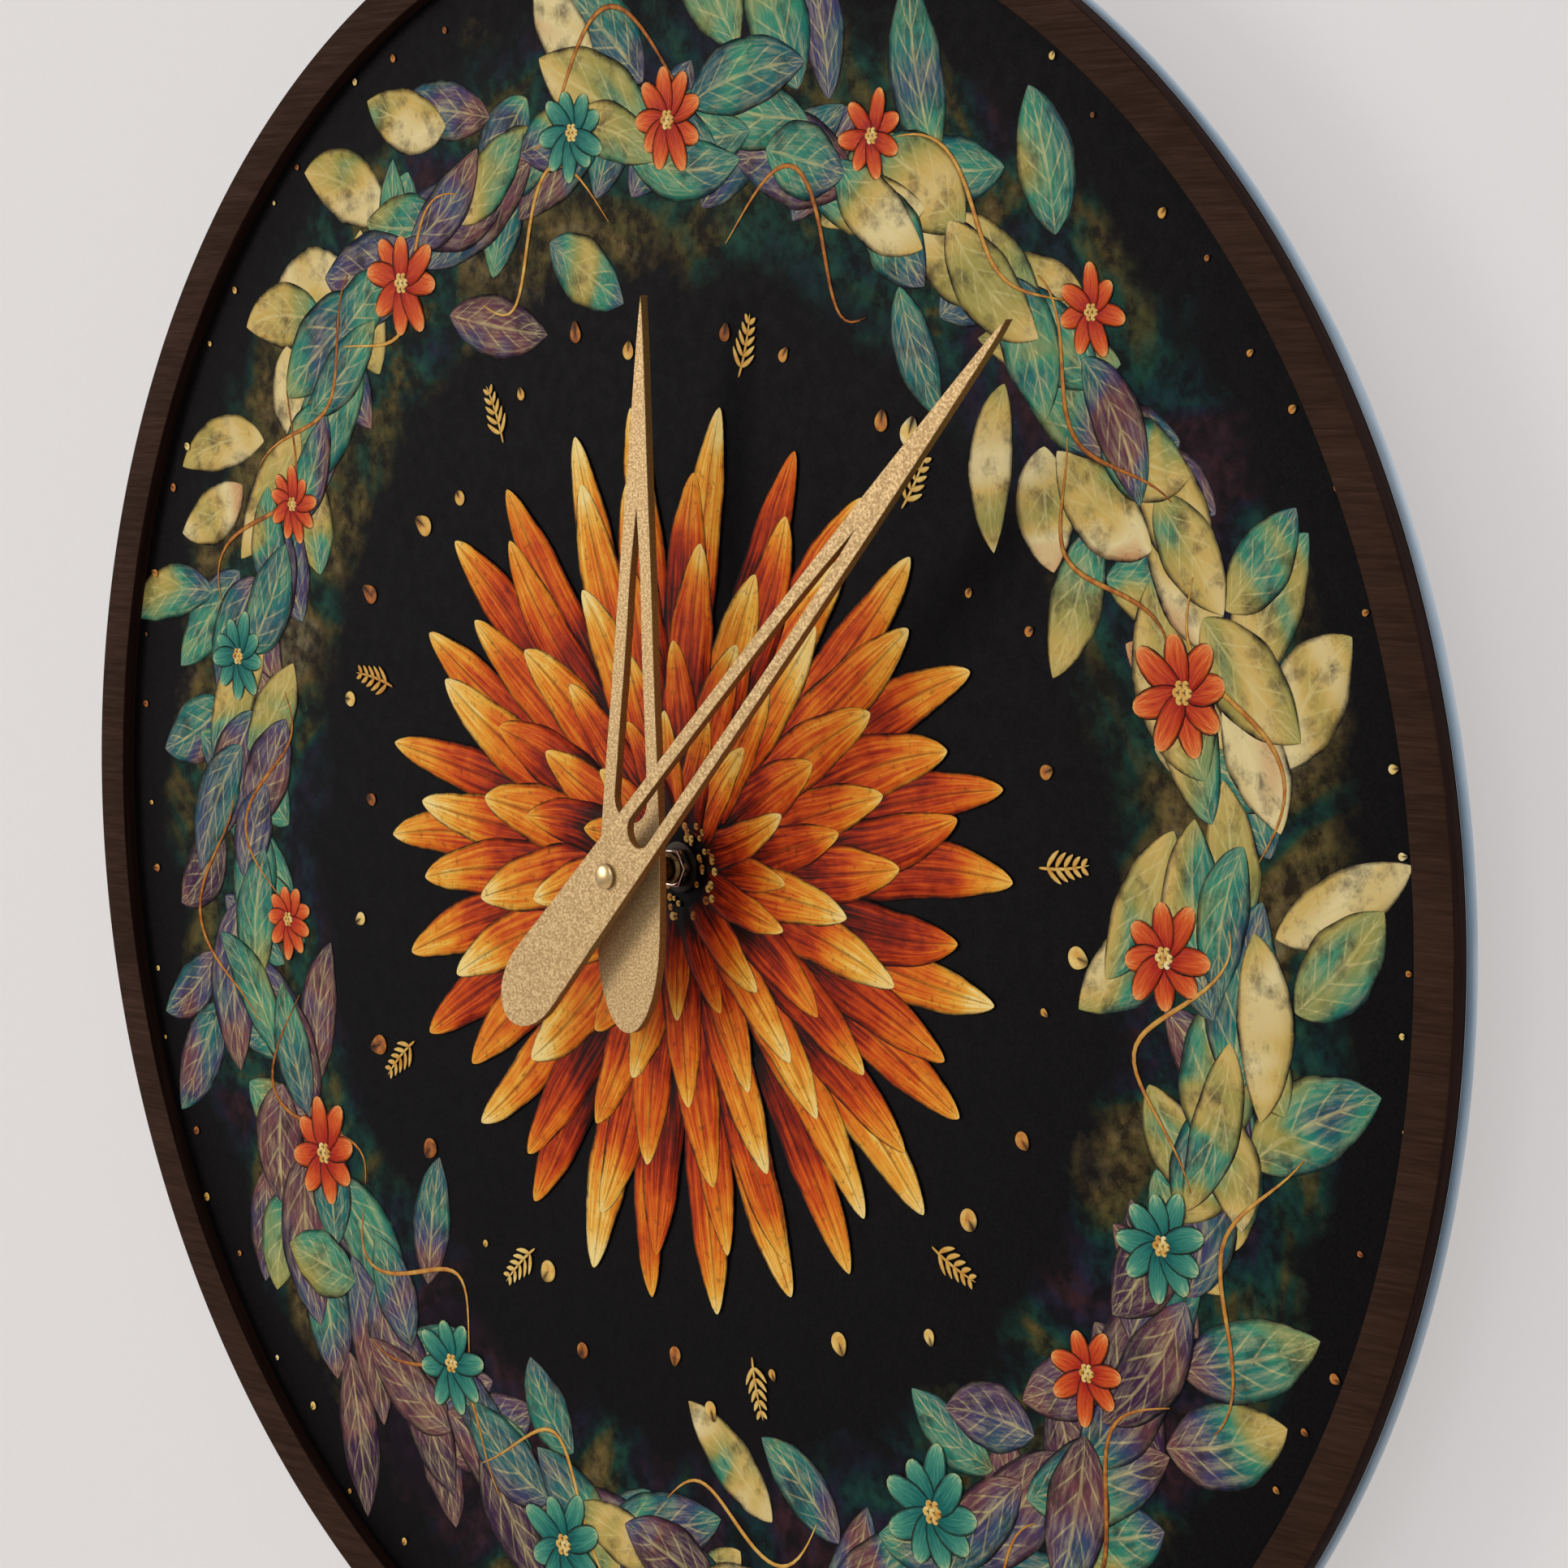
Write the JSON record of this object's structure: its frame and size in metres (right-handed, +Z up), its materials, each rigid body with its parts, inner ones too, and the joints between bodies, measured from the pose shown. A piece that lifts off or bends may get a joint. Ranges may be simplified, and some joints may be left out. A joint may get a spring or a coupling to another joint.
{
  "type": "wall clock",
  "caption": "Round wall clock: clear acrylic disc with a printed dark face, dark wooden rim ring, slotted gold hour and minute hands, quartz movement with its going train, hung on a nail.",
  "frame": {"origin": "hub axis at the wall: the centre line of the hands where it meets the plane of the movement's rear cover, which rests on the wall", "axes": "+Z up to twelve o'clock, -Y out of the wall towards the viewer, +X to three o'clock as the viewer sees it"},
  "size_m": [0.4, 0.0423, 0.4],
  "materials": {
    "rim_ring": "dark walnut stain, satin",
    "acrylic_disc": "clear cast acrylic, polished",
    "print_film": "matt black print with a floral pattern",
    "movement_case": "black moulded ABS",
    "middle_plate": "white moulded ABS",
    "movement_cover": "black moulded ABS",
    "threaded_bush": "turned brass",
    "rubber_washer": "black rubber",
    "steel_washer": "plated steel",
    "hex_nut": "bright plated",
    "battery_aa": "printed jacket",
    "contact_positive": "nickel-plated spring steel",
    "contact_negative": "nickel-plated spring steel",
    "circuit_board": "green laminate with a black chip blob",
    "quartz_crystal": "tinned can",
    "coil_core": "soft iron",
    "coil_bobbin": "moulded nylon",
    "coil_winding": "enamelled copper wire",
    "stator": "stamped silicon steel",
    "rotor": "bonded magnet on a moulded pinion",
    "intermediate_wheel": "white acetal",
    "second_wheel": "white acetal",
    "third_wheel": "cream acetal",
    "centre_wheel": "brass",
    "minute_arbor": "brass",
    "motion_wheel": "white acetal",
    "hour_wheel": "brass",
    "setting_knob": "red acetal",
    "hour_hand": "champagne gold metallic with a fine orange-peel texture",
    "hour_hand_collet": "brass",
    "minute_hand": "champagne gold metallic with a fine orange-peel texture",
    "cap_nut": "polished"
  },
  "bodies": {
    "clock": {"rim_ring": "rim_ring", "acrylic_disc": "acrylic_disc", "print_film": "print_film", "movement_case": "movement_case", "middle_plate": "middle_plate", "movement_cover": "movement_cover", "threaded_bush": "threaded_bush", "rubber_washer": "rubber_washer", "steel_washer": "steel_washer", "hex_nut": "hex_nut", "battery_aa": "battery_aa", "contact_positive": "contact_positive", "contact_negative": "contact_negative", "circuit_board": "circuit_board", "quartz_crystal": "quartz_crystal", "coil_core": "coil_core", "coil_bobbin": "coil_bobbin", "coil_winding": "coil_winding", "stator": "stator"},
    "minute": {"minute_arbor": "minute_arbor", "minute_hand": "minute_hand", "cap_nut": "cap_nut"},
    "hour": {"hour_wheel": "hour_wheel", "hour_hand_collet": "hour_hand_collet", "hour_hand": "hour_hand"},
    "motion": {"motion_wheel": "motion_wheel"},
    "setting": {"setting_knob": "setting_knob"},
    "rotor": {"rotor": "rotor"},
    "intermediate": {"intermediate_wheel": "intermediate_wheel"},
    "second": {"second_wheel": "second_wheel"},
    "third": {"third_wheel": "third_wheel"},
    "centre": {"centre_wheel": "centre_wheel"}
  },
  "joints": [
    {"name": "minute_turn", "type": "hinge", "parent": "clock", "child": "minute", "pos_m": [0, 0, 0], "axis": [0, 1, 0], "continuous": true},
    {"name": "hour_turn", "type": "hinge", "parent": "clock", "child": "hour", "pos_m": [0, 0, 0], "axis": [0, 1, 0], "continuous": true},
    {"name": "motion_turn", "type": "hinge", "parent": "clock", "child": "motion", "pos_m": [-0.00827, 0, -0.00146], "axis": [0, 1, 0], "continuous": true},
    {"name": "setting_turn", "type": "hinge", "parent": "clock", "child": "setting", "pos_m": [-0.01758, 0, 0.00018], "axis": [0, 1, 0], "continuous": true},
    {"name": "rotor_spin", "type": "hinge", "parent": "clock", "child": "rotor", "pos_m": [0.01553, 0, 0.01051], "axis": [0, 1, 0], "continuous": true},
    {"name": "intermediate_spin", "type": "hinge", "parent": "clock", "child": "intermediate", "pos_m": [0.00764, 0, 0.00764], "axis": [0, 1, 0], "continuous": true},
    {"name": "second_spin", "type": "hinge", "parent": "clock", "child": "second", "pos_m": [0, 0, 0], "axis": [0, 1, 0], "continuous": true},
    {"name": "third_spin", "type": "hinge", "parent": "clock", "child": "third", "pos_m": [-0.00764, 0, 0.00764], "axis": [0, 1, 0], "continuous": true},
    {"name": "centre_spin", "type": "hinge", "parent": "clock", "child": "centre", "pos_m": [0, 0, 0], "axis": [0, 1, 0], "continuous": true}
  ],
  "couplings": [
    {"joint": "hour_turn", "follows": "minute_turn", "ratio": 0.083333},
    {"joint": "motion_turn", "follows": "minute_turn", "ratio": -0.33333},
    {"joint": "setting_turn", "follows": "minute_turn", "ratio": 0.66667},
    {"joint": "intermediate_spin", "follows": "rotor_spin", "ratio": -0.16667},
    {"joint": "second_spin", "follows": "rotor_spin", "ratio": 0.033333},
    {"joint": "third_spin", "follows": "rotor_spin", "ratio": -0.0044444},
    {"joint": "centre_spin", "follows": "rotor_spin", "ratio": 0.00055556}
  ]
}
